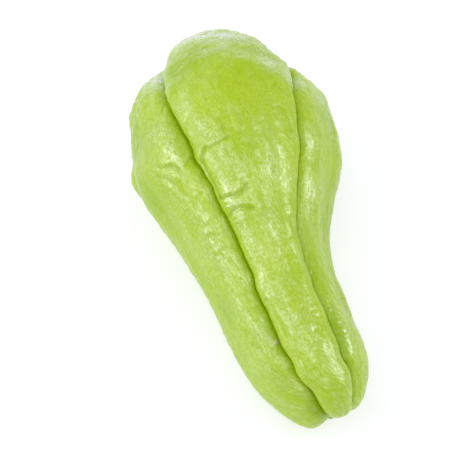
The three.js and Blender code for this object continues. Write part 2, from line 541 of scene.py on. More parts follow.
LOBES = (
    Lobe(
        name="crown",
        crest=(8, 3, 2.5, 2, 1.5, 1.5, 2, 2.5, 4),
        # The crown's right wall gets painted shade at its foot, by the right furrow.
        walls=(Wall(6, 2.8, lean=1.6), Wall(6, 2.8, lean=1.4, shade=0.5)),
        flutes=(
            Flute(
                across=(0.30, 0.30, 0.32, 0.34, 0.36, 0.38, 0.40, 0.42, 0.45),
                depth=(0, 0.5, 0.9, 0.8, 0.5, 0.2, 0, 0, 0),
                half_width=3.0,
            ),
            Flute(
                across=(0.62, 0.60, 0.60, 0.62, 0.64, 0.66, 0.66, 0.66, 0.66),
                depth=(0, 0.4, 0.8, 0.9, 0.9, 0.6, 0.3, 0, 0),
                half_width=3.0,
            ),
        ),
    ),
    Lobe(
        name="right",
        crest=(1, 1.4, -0.6, -2.2, 0.6, 0.6, -1, -6.5, -6),
        # The right lobe's left wall gets painted shade at its foot, by the right furrow.
        walls=(Wall(7, 2.6, lean=1.2, shade=0.9), Wall(8, 2.2)),
        flutes=(
            Flute(
                across=(0.50, 0.50, 0.52, 0.52, 0.50, 0.50, 0.50, 0.50, 0.50),
                depth=(0, 0.3, 0.6, 0.6, 0.5, 0.4, 0.2, 0, 0),
                half_width=3.0,
            ),
        ),
    ),
    Lobe(
        name="right belly",
        crest=(-3, 0, 0, 0, 0.2, 1.4, 2.3, 2.2, 4),
        walls=(Wall(8, 2.2), Wall(8, 2.2)),
        flutes=(
            Flute(
                across=(0.45, 0.45, 0.50, 0.50, 0.50, 0.45, 0.40, 0.40, 0.40),
                depth=(0, 0.4, 0.7, 0.8, 0.7, 0.4, 0, 0, 0),
                half_width=3.5,
            ),
        ),
    ),
    Lobe(
        name="left belly",
        crest=(-3, 1.1, 0.8, 0.2, -0.2, 0.9, 0.4, 1.8, 4),
        walls=(Wall(8, 2.2), Wall(8, 2.2)),
        flutes=(
            Flute(
                across=(0.55, 0.55, 0.50, 0.50, 0.55, 0.60, 0.60, 0.60, 0.60),
                depth=(0, 0.4, 0.7, 0.8, 0.7, 0.4, 0, 0, 0),
                half_width=3.5,
            ),
        ),
    ),
    Lobe(
        name="left",
        crest=(4, 0.6, 0.6, 0.5, 1, 3.5, 1.0, 2, -3),
        walls=(Wall(8, 2.2), Wall(6.5, 3.0)),
        flutes=(
            Flute(
                across=(0.50, 0.48, 0.46, 0.44, 0.42, 0.42, 0.42, 0.42, 0.42),
                depth=(0, 0.5, 0.9, 0.9, 0.8, 0.4, 0, 0, 0),
                half_width=3.5,
            ),
        ),
    ),
)

# Low mounds of the large relief, in millimetres, and dents where the amount is below 0.
SPOTS = (
    Spot(150, -27, 7.0, 8.0, 1.0),
    Spot(150, 8, 5.0, 8.0, 2.0),
    Spot(92, 76, 7.0, 7.0, 1.4),
    Spot(133, 276, 4.0, 6.0, 0.8),
    Spot(117, 66, 5.0, 6.0, 1.2),
    Spot(116, 254, 9.0, 8.0, 4.5),
    Spot(70, 74, 8.0, 7.0, -0.9),
    Spot(134, -30, 5.5, 4.5, -1.1),
    Spot(138, 12, 4.0, 5.0, -1.0),
    Spot(129, 27, 5.0, 4.0, -0.9),
    Spot(126, 150, 7.0, 6.0, -1.0),
    Spot(108, 226, 6.0, 6.0, -0.8),
    Spot(134, 290, 6.0, 5.0, -1.0),
)

SWELLS = (
    Swell(0.55, 0.0, (Wave((0.120, 0, 0), 1.1), Wave((0, 0.079, 0), 0.6), Wave((0, 0, 0.110), 2.0))),
    Swell(0.22, 0.75, (Wave((0.244, 0.111, 0), 0.4), Wave((0, 0.189, -0.164), 1.7))),
)


# ---- The fine relief of the skin ---------------------------------------------------------------


@dataclass(frozen=True)
class Crease:
    """A fine fold in the skin through a few places, each a distance along and an angle.

    A low lip stands on both its sides. LIP_AT and LIP_WIDTH are in the crease's half widths, and
    LIP_HEIGHT is a share of its depth. Its corners are cut at CUT of each stretch. FAR is longer
    than the fruit, and SHORTEST keeps a stretch without length from dividing by 0.
    """

    places: tuple[tuple[float, float], ...]
    half_width: float
    depth: float

    LIP_AT = 2.2
    LIP_WIDTH = 1.2
    LIP_HEIGHT = 0.12
    CUT = 0.25
    FAR = 1e3
    SHORTEST = 1e-6

    def curve(self) -> list[tuple[float, float]]:
        """The crease's line with its corners cut round.

        Returns:
            Places along it, each a distance along and an angle.
        """
        rounded = [self.places[0]]
        for (y0, angle0), (y1, angle1) in zip(self.places, self.places[1:]):
            for share in (self.CUT, 1.0 - self.CUT):
                rounded.append(((1.0 - share) * y0 + share * y1, (1.0 - share) * angle0 + share * angle1))
        return rounded + [self.places[-1]]

    def distance(self, place: Place) -> Array:
        """How far each point is from the crease.

        Args:
            place: where the points are.

        Returns:
            Distances in millimetres.
        """
        anchor = self.places[0][1]
        here = np.stack([place.turned_from(anchor), place.y], -1)
        nearest = np.full(place.y.shape, self.FAR)
        curve = self.curve()
        for (y0, angle0), (y1, angle1) in zip(curve, curve[1:]):
            start = np.stack([place.radius * math.radians(angle0 - anchor), 0 * place.y + y0], -1)
            end = np.stack([place.radius * math.radians(angle1 - anchor), 0 * place.y + y1], -1)
            way = end - start
            share = ((here - start) * way).sum(-1) / np.maximum((way ** 2).sum(-1), self.SHORTEST)
            foot = start + np.clip(share, 0, 1)[..., None] * way
            nearest = np.minimum(nearest, np.linalg.norm(here - foot, axis=-1))
        return nearest

    def sink(self, place: Place) -> Array:
        """The crease's depth, less its lips.

        Args:
            place: where the points are.

        Returns:
            Depths in millimetres, below 0 on a lip.
        """
        nearest = self.distance(place)
        lip = bump(nearest - self.LIP_AT * self.half_width, self.LIP_WIDTH * self.half_width)
        return self.depth * (bump(nearest, self.half_width) - self.LIP_HEIGHT * lip)


CREASES = (
    Crease(((95, -11), (94, -20), (94.5, -26), (91, -29), (84, -26.5), (77, -25)), 0.50, 0.80),
    Crease(((77, -26), (75.5, -19), (75.5, -13), (77, -9)), 0.55, 0.72),
    Crease(((86, -26), (82, -24), (78, -23)), 0.5, 0.35),
    Crease(((70.5, -24), (71.5, -18), (71, -12), (70, -8)), 0.55, 0.65),
    Crease(((91, -14), (86, -12), (81, -13)), 0.8, 0.35),
    Crease(((79, -10), (76.5, -7)), 0.7, 0.40),
    Crease(((103, -14), (99, -12), (95, -13)), 0.7, 0.35),
    Crease(((104, -5), (99, -2), (95, -4)), 0.7, 0.35),
    Crease(((93.5, -41), (95, -37), (93, -33)), 0.6, 0.45),
    Crease(((96, -53), (95.5, -49), (92, -46)), 0.6, 0.50),
    Crease(((106, -57), (101, -59), (97, -56)), 0.7, 0.40),
    Crease(((96, -60), (92, -55), (86, -52)), 0.8, 0.35),
    Crease(((103, 20), (99, 24), (94, 25)), 0.7, 0.40),
    Crease(((112, 20), (108, 26)), 0.7, 0.40),
    Crease(((40, -20), (34, -16), (26, -15)), 0.9, 0.30),
    Crease(((64, 15), (58, 17), (50, 16)), 0.8, 0.30),
    Crease(((112, 60), (108, 68), (101, 70)), 0.9, 0.40),
    Crease(((60, 150), (52, 158), (44, 156)), 0.9, 0.40),
    Crease(((120, 208), (112, 214), (104, 212)), 0.9, 0.40),
)

# The corky line in the left furrow's end, what fills that end, and the corky knob near the furrow.
CORK_LINE = Crease(((13, -28), (10, -27.5), (7, -27), (4.5, -29)), 0.45, 0.15)
FURROW_END = Spot(10, -29, 5.0, 3.5, 1.8)
KNOB = Spot(25.8, -32, 0.9, 0.9, 0.9)

# Low ridges along the lobes, and the raised patch on the crown with the dip in its middle.
RIDGES = (
    Spot(93, 48, 11.0, 2.6, 0.6),
    Spot(71, 50, 10.0, 2.6, 0.6),
    Spot(105, -50, 6.0, 3.5, 0.4),
    Spot(29, 2, 7.0, 2.2, 0.5),
    Spot(64, -51, 16.0, 2.8, 0.4),
    Spot(26, 44, 11.0, 1.8, 0.4),
)
RAISED_PATCH = Spot(85, -18, 9.5, 6.0, 0.45)
PATCH_DIP = Spot(86, -18, 7.0, 3.5, -0.28)


@dataclass(frozen=True)
class Layer:
    """A layer of the fine relief: its height in millimetres, and what a mask adds to that."""

    height: float
    more: float = 0.0

    def under(self, mask: Array) -> Array:
        """The layer's height where a mask goes from 0 to 1."""
        return self.height + self.more * mask


class SkinRelief:
    """Everything finer than the lobes: waves of the furrows, wrinkles, net and grain.

    Each kind has the size of its grain in millimetres, where two sizes are across and along a
    lobe, and its height. A drift or a warp is how far other noise pushes it about, and a step
    keeps the noise of one furrow or lobe off the next one's. The wave is the furrows' waver.
    """

    PEBBLE_SIZE = 7.5
    PEBBLES = Layer(0.22, 0.30)
    GRAIN_SIZE = 1.9
    GRAIN = 0.08
    CRUMPLE_SIZE = 3.2
    CRUMPLE_SHARPNESS = 2.5
    CRUMPLE = Layer(0.12, 0.10)
    LONG_SIZE = (2.8, 11.0)
    LONG_WRINKLES = Layer(0.11, 0.12)
    HAIR_SIZE = (1.3, 8.0)
    HAIR_LINES = 0.07
    CROSS_SIZE = (9.0, 2.3)
    CROSS_WRINKLES = Layer(0.06, 0.46)
    NET_SIZE = 6.0
    NET_LINE = 0.16
    NET = Layer(0.05, 0.22)
    DRIFT_SIZE = 9.0
    DRIFT = 2.5
    WAVE_SIZE = 4.0
    WAVE_DEGREES = 0.7
    WAVE_START = (4.0, 18.0)
    WAVE_END = (140.0, 156.0)
    NET_WARP = 1.2
    CRUMPLE_WARP = 2.0
    FURROW_STEP = 4.7
    LOBE_STEP = 40.0

    def __init__(self) -> None:
        """Draws the noises that the relief is made of."""
        self.broad = GradientNoise(11)
        self.lengthwise = GradientNoise(23)
        self.crosswise = GradientNoise(37)
        self.grain = GradientNoise(41)
        self.crumple = GradientNoise(47)
        self.hair = GradientNoise(71)
        self.net = CellNoise(53)
        self.furrow_wave = GradientNoise(61)

    def wander(self, y: Array, furrow: int) -> Array:
        """A small waver of a furrow, which fades toward the poles.

        Args:
            y: distances from the stem pole.
            furrow: the furrow's number.

        Returns:
            Degrees at each distance.
        """
        line = np.stack([y / self.WAVE_SIZE, 0.0 * y + self.FURROW_STEP * furrow, 0.0 * y], -1)
        fade = ramp(y, *self.WAVE_START) * (1.0 - ramp(y, *self.WAVE_END))
        return self.WAVE_DEGREES * self.furrow_wave.octaves(line, 2) * fade

    def height(self, place: Place, lobe: int) -> Array:
        """The fine relief at points of one lobe.

        Args:
            place: where the points are.
            lobe: the lobe's number.

        Returns:
            Heights in millimetres.
        """
        across = place.share * place.width
        flat = np.stack([across, place.y, 0.0 * across + self.LOBE_STEP * lobe], -1)
        neck = 1.0 - ramp(place.y, *NECK_END)
        belly = ramp(place.y, *BELLY)
        rim = ramp(place.y, *RIM)

        pebbles = self.broad.octaves(place.point / self.PEBBLE_SIZE, 3)
        fine = self.grain.octaves(place.point / self.GRAIN_SIZE, 2)
        bend = self.DRIFT * self.grain.octaves(place.point / self.DRIFT_SIZE, 2)
        drifting = flat + np.stack([bend, 0.0 * bend, 0.0 * bend], -1)
        long_wrinkles = self.lengthwise.octaves(self._scaled(drifting, self.LONG_SIZE), 3, gain=0.6)
        cross_wrinkles = self.crosswise.octaves(self._scaled(flat, self.CROSS_SIZE), 3)
        hair_lines = self.hair.at(self._scaled(drifting, self.HAIR_SIZE))
        warped = place.point + self.NET_WARP * np.stack([pebbles, fine, long_wrinkles], -1)
        net = bump(self.net.border(warped / self.NET_SIZE), self.NET_LINE)
        crumpled = place.point + self.CRUMPLE_WARP * np.stack([long_wrinkles, fine, pebbles], -1)
        folded = np.abs(self.crumple.at(crumpled / self.CRUMPLE_SIZE))
        crumple = 1.0 - self.CRUMPLE_SHARPNESS * folded

        height = self.PEBBLES.under(rim) * pebbles + self.GRAIN * fine + self.CRUMPLE.under(rim) * crumple
        height += self.LONG_WRINKLES.under(neck) * long_wrinkles + self.HAIR_LINES * hair_lines
        height += self.CROSS_WRINKLES.under(rim) * cross_wrinkles
        height -= self.NET.under(belly) * net
        return height

    @staticmethod
    def _scaled(points: Array, size: tuple[float, float]) -> Array:
        """Points in units of a grain's size across and along a lobe."""
        return points * np.array([1 / size[0], 1 / size[1], 1.0])


# ---- The fruit ---------------------------------------------------------------------------------


@dataclass
class Fruit:
    """The fruit's skin as one fine closed mesh, with what its finish needs at each point.

    The full sizes are where a lobe is wide enough for all its relief, and where a furrow or a
    crease is deep enough for all its painted shade and painted light, in millimetres. The crowded
    shares are how much the points draw together at the poles and at the furrows. The raised patch
    has a flat top, with an edge that patch_edge makes steeper and patch_rise makes round.
    """

    pear: Pear = Pear()
    furrows: tuple[Furrow, ...] = FURROWS
    lobes: tuple[Lobe, ...] = LOBES
    mouth: Hollow = Hollow(9.0, 15.0, 6.5)
    dimple: Hollow = Hollow(4.0, 6.0, 5.0)
    crest_roundness: float = 2.4
    full_lobe: float = 12.0
    full_furrow: float = 6.0
    full_crease: float = 0.7
    patch_edge: float = 1.6
    patch_rise: tuple[float, float] = (0.1, 0.9)
    steps_along: int = 283
    steps_across: int = 70
    crowded_along: float = 0.45
    crowded_across: float = 0.5

    def place(self, lobe: int, t: Array, share: Array, relief: SkinRelief) -> Place:
        """Where points of a lobe lie.

        Args:
            lobe: the lobe's number.
            t: how far along the fruit, 0 to 1.
            share: how far across the lobe, 0 to 1.
            relief: gives the furrows' waves.

        Returns:
            The place of each point.
        """
        pear = self.pear
        following = (lobe + 1) % len(self.furrows)
        full_turn = 360.0 if following == 0 else 0.0
        y = pear.distance(t)
        start = self.furrow_angle(lobe, y, relief)
        end = self.furrow_angle(following, y, relief) + full_turn
        degrees = start + (end - start) * share
        angle = np.radians(degrees)
        half_width, half_height = pear.section(y)
        radius = np.hypot(half_width * np.sin(angle), half_height * np.cos(angle))
        width = radius * np.radians(end - start)
        return Place(y, degrees, share, width, radius, pear.point(t, angle))

    def furrow_angle(self, number: int, y: Array, relief: SkinRelief) -> Array:
        """A furrow's angle at y, in degrees."""
        furrow = self.furrows[number]
        return self.pear.along(furrow.angle, y) + furrow.stray(y) + relief.wander(y, number)

    def furrow_sink(self, lobe: int, place: Place) -> Array:
        """How far the two walls of a lobe lie below its top.

        Args:
            lobe: the lobe's number.
            place: where its points are.

        Returns:
            From 0 on top to the furrows' depth in them, in millimetres.
        """
        following = (lobe + 1) % len(self.furrows)
        walls = self.lobes[lobe].walls
        risen = walls[0].risen(place.share * place.width)
        risen = risen * walls[1].risen((1.0 - place.share) * place.width)
        depth = self.pear.along(self.furrows[lobe].depth, place.y) * (1.0 - place.share)
        depth = depth + self.pear.along(self.furrows[following].depth, place.y) * place.share
        return (1.0 - risen) * depth

    def swell_height(self, place: Place) -> Array:
        """The height of the swells of the whole skin.

        Args:
            place: where the points are.

        Returns:
            Heights in millimetres.
        """
        rim_start, rim_full = RIM
        rim = np.clip((place.y - rim_start) / (rim_full - rim_start), 0.0, 1.0)
        height = np.zeros(place.y.shape)
        for swell in SWELLS:
            product = swell.height + swell.rim_height * rim
            for wave in swell.waves:
                product = product * np.sin(place.point @ np.array(wave.vector) + wave.phase)
            height += product
        return height

    def end_sink(self, place: Place) -> Array:
        """The depth of the mouth and the dimple.

        Args:
            place: where the points are.

        Returns:
            Depths in millimetres.
        """
        pear = self.pear
        toward_blossom = 2.0 * place.y / pear.length - 1.0
        mouth = self.mouth.sink(place.point, pear.sway[-1], pear.rise[-1])
        dimple = self.dimple.sink(place.point, pear.sway[0], pear.rise[0])
        return toward_blossom ** 2 * np.where(toward_blossom > 0, mouth, dimple)

    def rows(self) -> Array:
        """How far along the fruit each row of points lies, nearly even in distance.

        Returns:
            Each row's t, from 0 to 1.
        """
        crowded = np.linspace(0.0, 1.0, self.steps_along + 1)
        even = np.arccos(1.0 - 2.0 * crowded) / math.pi
        return self.crowded_along * crowded + (1.0 - self.crowded_along) * even

    def columns(self) -> Array:
        """How far across a lobe each column of points lies, closer together near its furrows.

        Returns:
            Each column's share of the lobe, from 0 up to the next lobe's first.
        """
        even = np.arange(self.steps_across) / self.steps_across
        crowded = (1.0 - np.cos(math.pi * even)) / 2.0
        return crowded * self.crowded_across + even * (1.0 - self.crowded_across)

    def large_height(self, lobe: int, place: Place, sink: Array, full: Array) -> Array:
        """The height of a lobe's large relief over the pear.

        Args:
            lobe: the lobe's number.
            place: where its points are.
            sink: how far its walls lie below its top.
            full: 0 where the lobe is too narrow for relief, 1 where it is wide enough.

        Returns:
            Heights in millimetres.
        """
        parts = self.lobes[lobe]
        crest = self.pear.along(parts.crest, place.y)
        dome = 1.0 - np.abs(2.0 * place.share - 1.0) ** self.crest_roundness
        height = crest * dome * full - sink
        for flute in parts.flutes:
            offset = (place.share - self.pear.along(flute.across, place.y)) * place.width
            height -= self.pear.along(flute.depth, place.y) * bump(offset, flute.half_width)
        height += (self.swell_height(place) + sum(place.spot(spot) for spot in SPOTS)) * full
        return height - self.end_sink(place)

    def fine_height(self, lobe: int, place: Place, folds: Array, relief: SkinRelief) -> Array:
        """The height of a lobe's fine relief.

        Args:
            lobe: the lobe's number.
            place: where its points are.
            folds: the depth of the creases.
            relief: gives the wrinkles, the net and the grain.

        Returns:
            Heights in millimetres.
        """
        patch = np.clip(self.patch_edge * place.spot(RAISED_PATCH) / RAISED_PATCH.amount, 0.0, 1.0)
        height = relief.height(place, lobe) + RAISED_PATCH.amount * ramp(patch, *self.patch_rise)
        height -= folds + CORK_LINE.sink(place) - place.spot(KNOB)
        return height + place.spot(PATCH_DIP) + place.spot(FURROW_END) + sum(map(place.spot, RIDGES))

    def lobe_points(self, lobe: int, relief: SkinRelief) -> tuple[Array, Place, dict[str, Array]]:
        """The skin's points on one lobe, in rows from pole to pole.

        Args:
            lobe: the lobe's number.
            relief: the fine relief.

        Returns:
            The points, where they lie on the pear, and what the finish reads at each of them.
        """
        t, share = np.meshgrid(self.rows(), self.columns(), indexing="ij")
        place = self.place(lobe, t, share, relief)
        near_wall, far_wall = self.lobes[lobe].walls
        from_near = share * place.width
        from_far = (1.0 - share) * place.width
        full = np.clip(place.width / self.full_lobe, 0.0, 1.0)
        sink = self.furrow_sink(lobe, place)
        folds = sum(crease.sink(place) for crease in CREASES)

        height = self.large_height(lobe, place, sink, full)
        height += self.fine_height(lobe, place, folds, relief) * full
        lean = (far_wall.leaning(from_far) - near_wall.leaning(from_near)) * full ** 2
        angle = np.radians(place.degrees)
        points = place.point + self.pear.normal(t, angle) * height[..., None]
        points += self.pear.round_direction(self.pear.off_poles(t), angle) * lean[..., None]

        # What the finish reads. The depths of the furrows and creases become painted shade and painted
        # light there.
        facts = {
            "furrow": np.clip(sink / self.full_furrow, 0.0, 1.0),
            # Painted shade at the feet of the walls that carry it.
            "shade": near_wall.shaded(from_near) + far_wall.shaded(from_far),
            "crease": np.clip(folds / self.full_crease, 0.0, 1.0),
            "cork": bump(CORK_LINE.distance(place), CORK_LINE.half_width) + place.spot(KNOB),
            "lobe": 0.0 * share + lobe,
        }
        return points, place, facts

    def surface(self) -> tuple[Array, Place, dict[str, Array]]:
        """The whole skin in rows from pole to pole, flattened where the fruit lies.

        Returns:
            The points, where they lie on the pear, and what the finish reads at each of them.
        """
        relief = SkinRelief()
        parts = [self.lobe_points(lobe, relief) for lobe in range(len(self.lobes))]
        points, places, facts = zip(*parts)
        LOG.info("lobes: %s", ", ".join(lobe.name for lobe in self.lobes))
        skin = np.concatenate(points, 1)
        skin[..., 2] = np.maximum(skin[..., 2], 0.0)
        joined = {name: np.concatenate([fact[name] for fact in facts], 1) for name in facts[0]}
        return skin, Place.joined(places), joined


# ---- Meshes ------------------------------------------------------------------------------------


def add_object(name: str, data: bpy.types.ID) -> bpy.types.Object:
    """Puts a new object in the scene.

    Args:
        name: the object's name.
        data: its mesh, light or camera.

    Returns:
        The object.
    """
    piece = bpy.data.objects.new(name, data)
    bpy.context.scene.collection.objects.link(piece)
    return piece


class ClosedSkin:
    """A mesh of rings between two poles."""

    def __init__(self, name: str, rows: Array) -> None:
        """Makes the mesh and its object.

        Args:
            name: the object's name.
            rows: points in metres, rows from pole to pole; all of the first and last are equal.
        """
        self.rows, self.around = rows.shape[0], rows.shape[1]
        vertices = self._flat(rows)
        self.mesh = bpy.data.meshes.new(name)
        self.mesh.from_pydata(vertices.tolist(), [], self._faces())
        self.mesh.update()
        self.mesh.shade_smooth()
        self.piece = add_object(name, self.mesh)

    def _flat(self, values: Array) -> Array:
        """Values by row and column as one list of vertices, with each pole once."""
        inner = values[1:-1].reshape((-1,) + values.shape[2:])
        return np.concatenate([values[:1, 0], inner, values[-1:, 0]], 0)

    def _faces(self) -> list[list[int]]:
        """The faces, all with their outsides out.

        Returns:
            The vertices of each face: triangles at the poles, and four-sided between them.
        """
        around = self.around
        column = np.arange(around)
        after = (column + 1) % around
        faces = np.stack([0 * column, 1 + after, 1 + column], 1).tolist()
        for row in range(self.rows - 3):
            low = 1 + row * around
            high = low + around
            faces += np.stack([low + column, low + after, high + after, high + column], 1).tolist()
        low = 1 + (self.rows - 3) * around
        pole = low + around
        faces += np.stack([0 * column + pole, low + column, low + after], 1).tolist()
        return faces

    def attribute(self, name: str, values: Array) -> None:
        """Stores a number or a vector at each vertex.

        Args:
            name: the attribute's name.
            values: by row and column, with a last axis of 3 for a vector.
        """
        flat = self._flat(values)
        if flat.ndim == 1:
            layer = self.mesh.attributes.new(name, "FLOAT", "POINT")
            layer.data.foreach_set("value", flat.astype(np.float32))
        else:
            layer = self.mesh.attributes.new(name, "FLOAT_VECTOR", "POINT")
            layer.data.foreach_set("vector", flat.astype(np.float32).ravel())


# ---- Shader maths ------------------------------------------------------------------------------


class Kind(Enum):
    """What a socket carries."""

    NUMBER = "number"
    VECTOR = "vector"
    COLOUR = "colour"


Input = Union["Wire", float, Sequence[float]]


class Wire:
    """An output socket that can be used in a Python expression."""

    def __init__(self, sheet: "Sheet", socket: bpy.types.NodeSocket, kind: Kind = Kind.NUMBER) -> None:
        """Wraps a socket.

        Args:
            sheet: the node sheet that the socket is on.
            socket: the output socket.
            kind: what it carries.
        """
        self.sheet = sheet
        self.socket = socket
        self.kind = kind

    def _maths(self, operation: str, first: Input, second: Input) -> "Wire":
        """A Math node, or a Vector Math node where this wire isn't a number.

        Args:
            operation: the node's operation.
            first: its first value.
            second: its second value.

        Returns:
            The node's output.
        """
        if self.kind is Kind.NUMBER:
            node = self.sheet.node("ShaderNodeMath", {"operation": operation}, {0: first, 1: second})
            return Wire(self.sheet, node.outputs[0])
        node = self.sheet.node("ShaderNodeVectorMath", {"operation": operation}, {0: first, 1: second})
        return Wire(self.sheet, node.outputs[0], Kind.VECTOR)

    def __add__(self, other: Input) -> "Wire":
        """self + other."""
        return self._maths("ADD", self, other)

    def __radd__(self, other: Input) -> "Wire":
        """other + self."""
        return self._maths("ADD", other, self)

    def __sub__(self, other: Input) -> "Wire":
        """self - other."""
        return self._maths("SUBTRACT", self, other)

    def __rsub__(self, other: Input) -> "Wire":
        """other - self."""
        return self._maths("SUBTRACT", other, self)

    def __mul__(self, other: Input) -> "Wire":
        """self * other."""
        return self._maths("MULTIPLY", self, other)

    def __rmul__(self, other: Input) -> "Wire":
        """other * self."""
        return self._maths("MULTIPLY", other, self)

    def size(self) -> "Wire":
        """This number without its sign."""
        node = self.sheet.node("ShaderNodeMath", {"operation": "ABSOLUTE"}, {0: self})
        return Wire(self.sheet, node.outputs[0])

    def between(self, start: float, end: float) -> "Wire":
        """0 where this is below start, 1 above end, and smooth between them."""
        node = self.sheet.node(
            "ShaderNodeMapRange",
            {"interpolation_type": "SMOOTHSTEP", "clamp": True},
            {"Value": self, "From Min": start, "From Max": end},
        )
        return Wire(self.sheet, node.outputs["Result"])


class Sheet:
    """The node sheet of a material or a world."""

    def __init__(self, owner: Union[bpy.types.Material, bpy.types.World]) -> None:
        """Empties the owner's node sheet.

        Args:
            owner: the material or world that the nodes are for.
        """
        owner.use_nodes = True
        self.tree = owner.node_tree
        self.tree.nodes.clear()

    def node(self, kind: str, settings: Mapping[str, Any], inputs: Mapping[Any, Input]) -> bpy.types.Node:
        """Adds a node.

        Args:
            kind: the node's type.
            settings: its own settings, set before its sockets.
            inputs: values or wires, by socket name or number.

        Returns:
            The node.
        """
        node = self.tree.nodes.new(kind)
        for name, value in settings.items():
            setattr(node, name, value)
        for socket, value in inputs.items():
            if isinstance(value, Wire):
                self.tree.links.new(value.socket, node.inputs[socket])
            else:
                node.inputs[socket].default_value = value
        return node

    def number(self, name: str) -> Wire:
        """A number stored at the mesh's vertices."""
        node = self.node("ShaderNodeAttribute", {"attribute_name": name}, {})
        return Wire(self, node.outputs["Fac"])

    def vector(self, name: str) -> Wire:
        """A vector stored at the mesh's vertices."""
        node = self.node("ShaderNodeAttribute", {"attribute_name": name}, {})
        return Wire(self, node.outputs["Vector"], Kind.VECTOR)

    def noise(self, where: Wire, scale: float, detail: float = 3.0, roughness: float = 0.5) -> Wire:
        """Noise from 0 to 1, with scale waves for each unit of where."""
        node = self.node(
            "ShaderNodeTexNoise",
            {"noise_dimensions": "3D"},
            {"Vector": where, "Scale": scale, "Detail": detail, "Roughness": roughness},
        )
        return Wire(self, node.outputs["Fac"])

    def facing(self) -> Wire:
        """0 where the surface is seen square on, 1 where it is seen edge on."""
        return Wire(self, self.node("ShaderNodeLayerWeight", {}, {"Blend": 0.5}).outputs["Facing"])

    def blend(self, start: Union[Wire, Colour], end: Union[Wire, Colour], factor: Input) -> Wire:
        """A colour between two others.

        Args:
            start: the colour where factor is 0.
            end: the colour where factor is 1.
            factor: how far from start to end.

        Returns:
            The colour.
        """
        node = self.node("ShaderNodeMix", {"data_type": "RGBA"}, {})
        sockets = {"Factor_Float": factor, "A_Color": start, "B_Color": end}
        by_name = {socket.identifier: socket for socket in node.inputs}
        for name, value in sockets.items():
            if isinstance(value, Wire):
                self.tree.links.new(value.socket, by_name[name])
            else:
                by_name[name].default_value = (*value, 1.0) if name != "Factor_Float" else value
        output = next(socket for socket in node.outputs if socket.identifier == "Result_Color")
        return Wire(self, output, Kind.COLOUR)

    def bump(self, height: Wire, distance: float) -> Wire:
        """A normal from a height, for a Normal socket; distance is one unit of the height."""
        node = self.node("ShaderNodeBump", {}, {"Height": height, "Strength": 1.0, "Distance": distance})
        return Wire(self, node.outputs["Normal"], Kind.VECTOR)

    def end(self, shader: str, inputs: Mapping[str, Input], output: str) -> None:
        """Ends the sheet in one shader.

        Args:
            shader: the shader node's type.
            inputs: the shader's sockets.
            output: the output node's type.
        """
        last = Wire(self, self.node(shader, {}, inputs).outputs[0])
        self.node(output, {}, {"Surface": last})


def surface_material(
    name: str, sheet_inputs: Callable[[Sheet], Mapping[str, Input]]
) -> bpy.types.Material:
    """A material with one Principled shader.

    Args:
        name: the material's name.
        sheet_inputs: gives the shader's sockets, from nodes that it adds to the sheet.

    Returns:
        The material.
    """
    material = bpy.data.materials.new(name)
    sheet = Sheet(material)
    sheet.end("ShaderNodeBsdfPrincipled", sheet_inputs(sheet), "ShaderNodeOutputMaterial")
    return material


# ---- Finishes ----------------------------------------------------------------------------------


